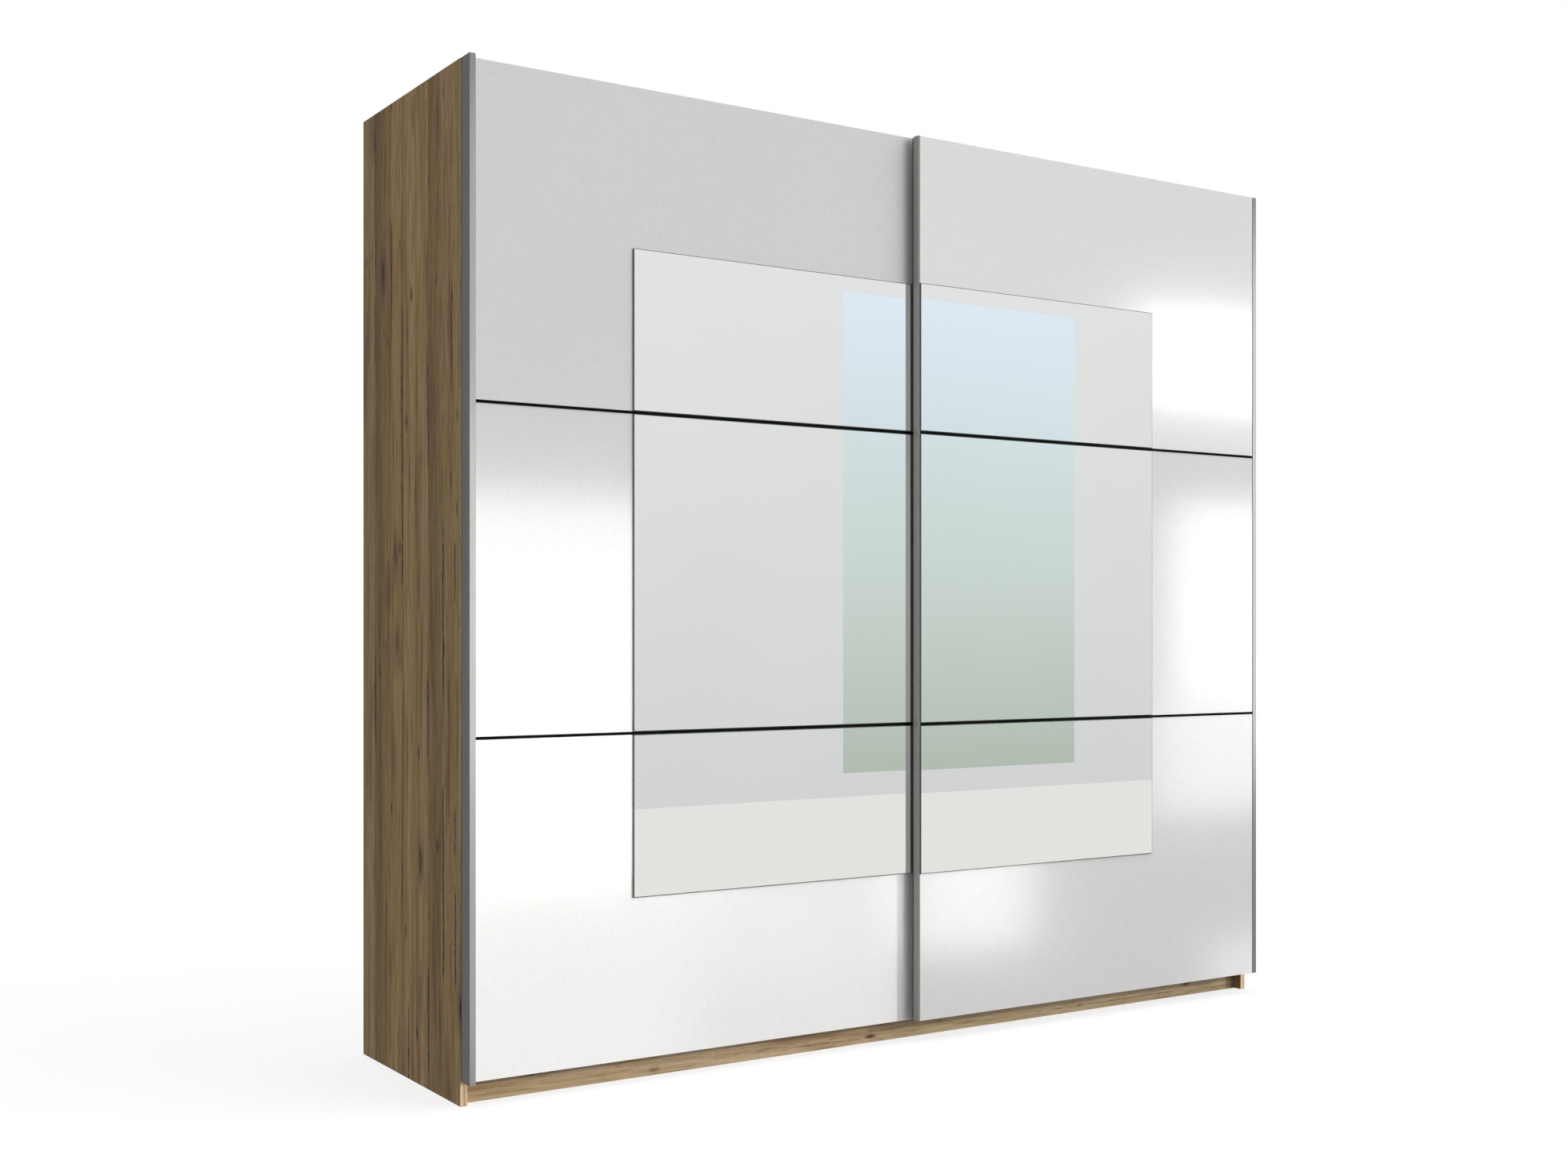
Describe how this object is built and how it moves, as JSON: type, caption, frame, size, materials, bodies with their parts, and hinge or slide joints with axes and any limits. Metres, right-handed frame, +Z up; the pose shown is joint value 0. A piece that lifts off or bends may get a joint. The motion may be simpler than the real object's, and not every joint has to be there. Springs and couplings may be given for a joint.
{
  "type": "sliding door wardrobe",
  "caption": "Wide free-standing wardrobe with oak-look carcass and overlapping white sliding doors that carry framed-in-white mirrors, black strips and grey end strips.",
  "frame": {"origin": "middle of the footprint on the floor: centre of the whole width and depth, at floor level", "axes": "+X across the front to the right as seen from the front, +Y towards the back (wall), +Z up; the doors face -Y"},
  "size_m": [2.345, 0.6288, 2.2035],
  "materials": {
    "oak_board": "oak-look melamine chipboard, satin, grain along each board",
    "white_board": "white melamine chipboard, semi-gloss",
    "hardboard": "thin hardboard, pale lacquered face",
    "satin_aluminium": "satin anodised",
    "black_strip": "black, matt",
    "silvered_mirror": "clear silvered glass, cut and ground edges",
    "plated_steel": "zinc plated",
    "chromed_tube": "bright chromed",
    "soft_stop": "soft black",
    "dowel_wood": "plain beech",
    "grey_nylon": "grey nylon",
    "white_nylon": "white nylon"
  },
  "bodies": {
    "carcass": {"left_side_panel": "oak_board", "right_side_panel": "oak_board", "plinth_board": "oak_board", "top_panel": "oak_board", "bottom_panel": "oak_board", "centre_partition": "oak_board", "rear_plinth_rail": "oak_board", "hat_shelf": "oak_board", "right_fixed_shelf": "oak_board", "loose_shelf_1": "oak_board", "loose_shelf_2": "oak_board", "loose_shelf_3": "oak_board", "loose_shelf_4": "oak_board", "left_back_sheet": "hardboard", "right_back_sheet": "hardboard", "left_closing_strip": "satin_aluminium", "right_closing_strip": "satin_aluminium", "running_track": "satin_aluminium", "bottom_guide_rail": "satin_aluminium", "track_end_stops": "soft_stop", "clothes_rail": "chromed_tube", "clothes_rail_holders": "chromed_tube", "shelf_pins": "plated_steel", "cam_locks": "plated_steel", "cam_bolts": "plated_steel", "dowels": "dowel_wood", "long_screws": "plated_steel", "back_nails": "plated_steel", "carcass_screws": "plated_steel"},
    "left_door": {"left_door_bottom_board": "white_board", "left_door_middle_board": "white_board", "left_door_top_board": "white_board", "left_door_joint_strips": "black_strip", "left_door_meeting_profile": "satin_aluminium", "left_door_back_bar": "satin_aluminium", "left_door_mirror_bottom": "silvered_mirror", "left_door_mirror_middle": "silvered_mirror", "left_door_mirror_top": "silvered_mirror", "left_door_hangers": "plated_steel", "left_door_axles": "plated_steel", "left_door_guides": "grey_nylon", "left_door_screws": "plated_steel"},
    "right_door": {"right_door_bottom_board": "white_board", "right_door_middle_board": "white_board", "right_door_top_board": "white_board", "right_door_joint_strips": "black_strip", "right_door_meeting_profile": "satin_aluminium", "right_door_back_bar": "satin_aluminium", "right_door_mirror_bottom": "silvered_mirror", "right_door_mirror_middle": "silvered_mirror", "right_door_mirror_top": "silvered_mirror", "right_door_hangers": "plated_steel", "right_door_axles": "plated_steel", "right_door_guides": "grey_nylon", "right_door_screws": "plated_steel"},
    "left_door_outer_wheel": {"left_door_outer_wheel": "white_nylon"},
    "left_door_meeting_wheel": {"left_door_meeting_wheel": "white_nylon"},
    "right_door_outer_wheel": {"right_door_outer_wheel": "white_nylon"},
    "right_door_meeting_wheel": {"right_door_meeting_wheel": "white_nylon"}
  },
  "joints": [
    {"name": "left_door_slide", "type": "slide", "parent": "carcass", "child": "left_door", "axis": [1, 0, 0], "range_m": [0, 1.15]},
    {"name": "right_door_slide", "type": "slide", "parent": "carcass", "child": "right_door", "axis": [1, 0, 0], "range_m": [-1.15, 0]},
    {"name": "left_door_outer_wheel_spin", "type": "hinge", "parent": "left_door", "child": "left_door_outer_wheel", "pos_m": [-1.075, -0.25445, 2.1743], "axis": [0, 1, 0], "continuous": true},
    {"name": "left_door_meeting_wheel_spin", "type": "hinge", "parent": "left_door", "child": "left_door_meeting_wheel", "pos_m": [-0.075, -0.25445, 2.1743], "axis": [0, 1, 0], "continuous": true},
    {"name": "right_door_outer_wheel_spin", "type": "hinge", "parent": "right_door", "child": "right_door_outer_wheel", "pos_m": [1.075, -0.23845, 2.1743], "axis": [0, 1, 0], "continuous": true},
    {"name": "right_door_meeting_wheel_spin", "type": "hinge", "parent": "right_door", "child": "right_door_meeting_wheel", "pos_m": [0.075, -0.23845, 2.1743], "axis": [0, 1, 0], "continuous": true}
  ],
  "couplings": [
    {"joint": "left_door_outer_wheel_spin", "follows": "left_door_slide", "rad_per_m": 83.333},
    {"joint": "left_door_meeting_wheel_spin", "follows": "left_door_slide", "rad_per_m": 83.333},
    {"joint": "right_door_outer_wheel_spin", "follows": "right_door_slide", "rad_per_m": 83.333},
    {"joint": "right_door_meeting_wheel_spin", "follows": "right_door_slide", "rad_per_m": 83.333}
  ]
}
